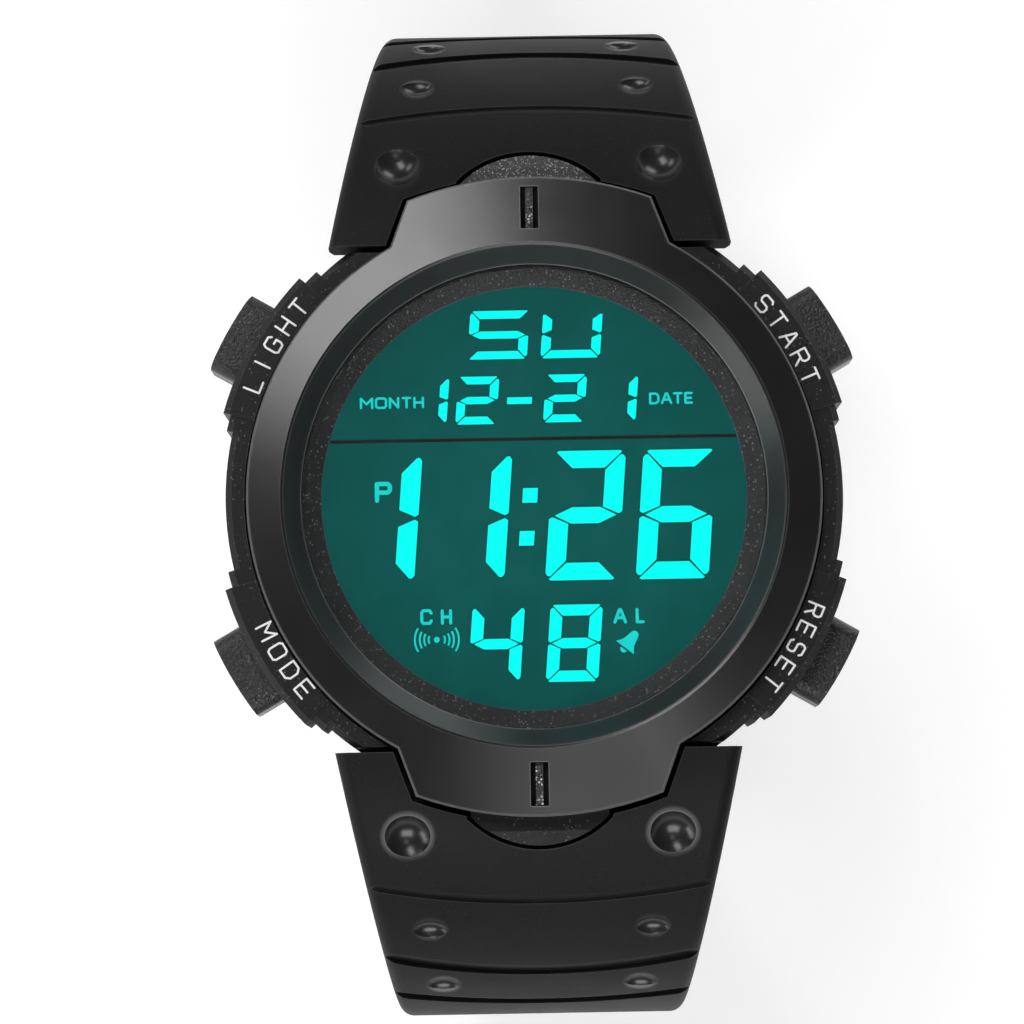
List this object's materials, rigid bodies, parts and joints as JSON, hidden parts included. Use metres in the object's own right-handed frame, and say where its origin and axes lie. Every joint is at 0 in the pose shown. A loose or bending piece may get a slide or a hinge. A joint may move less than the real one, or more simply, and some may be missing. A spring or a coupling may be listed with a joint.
{
  "type": "digital wristwatch",
  "caption": "Round digital wristwatch with a glossy eared bezel, side buttons in guards, a lit display and an open curled resin strap with a pin buckle.",
  "frame": {"origin": "centre of the case back's flat outer face", "axes": "+Z out of the display, +Y to 12 o'clock, +X to 3 o'clock"},
  "size_m": [0.0526, 0.0872, 0.077],
  "materials": {
    "case_resin": "fine grain",
    "bezel_gloss": "gloss",
    "index_bar": "satin",
    "window_glass": "clear",
    "display_glass": "satin",
    "light_guide": "satin",
    "ring_resin": "sparkling grain",
    "module_resin": "matte",
    "seal_rubber": "matte",
    "board_green": "satin",
    "chip_black": "matte",
    "spring_brass": "satin",
    "steel": "brushed",
    "button_resin": "fine grain",
    "strap_rubber": "matte",
    "buckle_steel": "black satin"
  },
  "bodies": {
    "case": {"case_body": "case_resin", "bezel": "bezel_gloss", "index_bars": "index_bar", "crystal": "window_glass", "crystal_gasket": "seal_rubber", "inner_ring": "ring_resin", "lcd_panel": "display_glass", "backlight_panel": "light_guide", "module_frame": "module_resin", "zebra_strips": "seal_rubber", "circuit_board": "board_green", "controller_chip": "chip_black", "quartz_can": "steel", "side_contacts": "spring_brass", "battery": "steel", "battery_clip": "steel", "insulator": "module_resin", "piezo_buzzer": "spring_brass", "buzzer_spring": "steel", "case_back": "steel", "case_back_gasket": "seal_rubber", "case_back_screws": "steel", "lug_pin_12": "steel", "lug_pin_6": "steel", "pusher_spring_start": "steel", "pusher_spring_light": "steel", "pusher_spring_mode": "steel", "pusher_spring_reset": "steel"},
    "button_start": {"pusher_start": "button_resin", "pusher_seal_start": "seal_rubber", "pusher_clip_start": "steel"},
    "button_light": {"pusher_light": "button_resin", "pusher_seal_light": "seal_rubber", "pusher_clip_light": "steel"},
    "button_mode": {"pusher_mode": "button_resin", "pusher_seal_mode": "seal_rubber", "pusher_clip_mode": "steel"},
    "button_reset": {"pusher_reset": "button_resin", "pusher_seal_reset": "seal_rubber", "pusher_clip_reset": "steel"},
    "long_half": {"strap_long": "strap_rubber"},
    "short_half": {"strap_short": "strap_rubber", "keeper_fixed": "strap_rubber", "buckle_pin": "steel"},
    "buckle": {"buckle_frame": "buckle_steel"},
    "tongue": {"buckle_tongue": "buckle_steel"},
    "keeper": {"keeper_free": "strap_rubber"}
  },
  "joints": [
    {"name": "press_start", "type": "slide", "parent": "case", "child": "button_start", "axis": [-0.866, -0.5, 0], "range_m": [0, 0.0009], "stiffness_N_per_m": 600, "springref_m": -0.0008, "deforming": ["pusher_spring_start"]},
    {"name": "press_light", "type": "slide", "parent": "case", "child": "button_light", "axis": [0.866, -0.5, 0], "range_m": [0, 0.0009], "stiffness_N_per_m": 600, "springref_m": -0.0008, "deforming": ["pusher_spring_light"]},
    {"name": "press_mode", "type": "slide", "parent": "case", "child": "button_mode", "axis": [0.866, 0.5, 0], "range_m": [0, 0.0009], "stiffness_N_per_m": 600, "springref_m": -0.0008, "deforming": ["pusher_spring_mode"]},
    {"name": "press_reset", "type": "slide", "parent": "case", "child": "button_reset", "axis": [-0.866, 0.5, 0], "range_m": [0, 0.0009], "stiffness_N_per_m": 600, "springref_m": -0.0008, "deforming": ["pusher_spring_reset"]},
    {"name": "swing_long", "type": "hinge", "parent": "case", "child": "long_half", "pos_m": [0, -0.026, 0.007], "axis": [-1, 0, 0], "range_deg": [0, 3]},
    {"name": "swing_short", "type": "hinge", "parent": "case", "child": "short_half", "pos_m": [0, 0.026, 0.007], "axis": [1, 0, 0], "range_deg": [0, 3]},
    {"name": "turn_buckle", "type": "hinge", "parent": "short_half", "child": "buckle", "pos_m": [0, 0.03403, -0.0464], "axis": [1, 0, 0], "range_deg": [-75, 30]},
    {"name": "lift_tongue", "type": "hinge", "parent": "buckle", "child": "tongue", "pos_m": [0, 0.03403, -0.0464], "axis": [1, 0, 0], "range_deg": [0, 90]},
    {"name": "slide_keeper", "type": "slide", "parent": "short_half", "child": "keeper", "axis": [0, 0.2079, 0.9781], "range_m": [0, 0.008]}
  ]
}
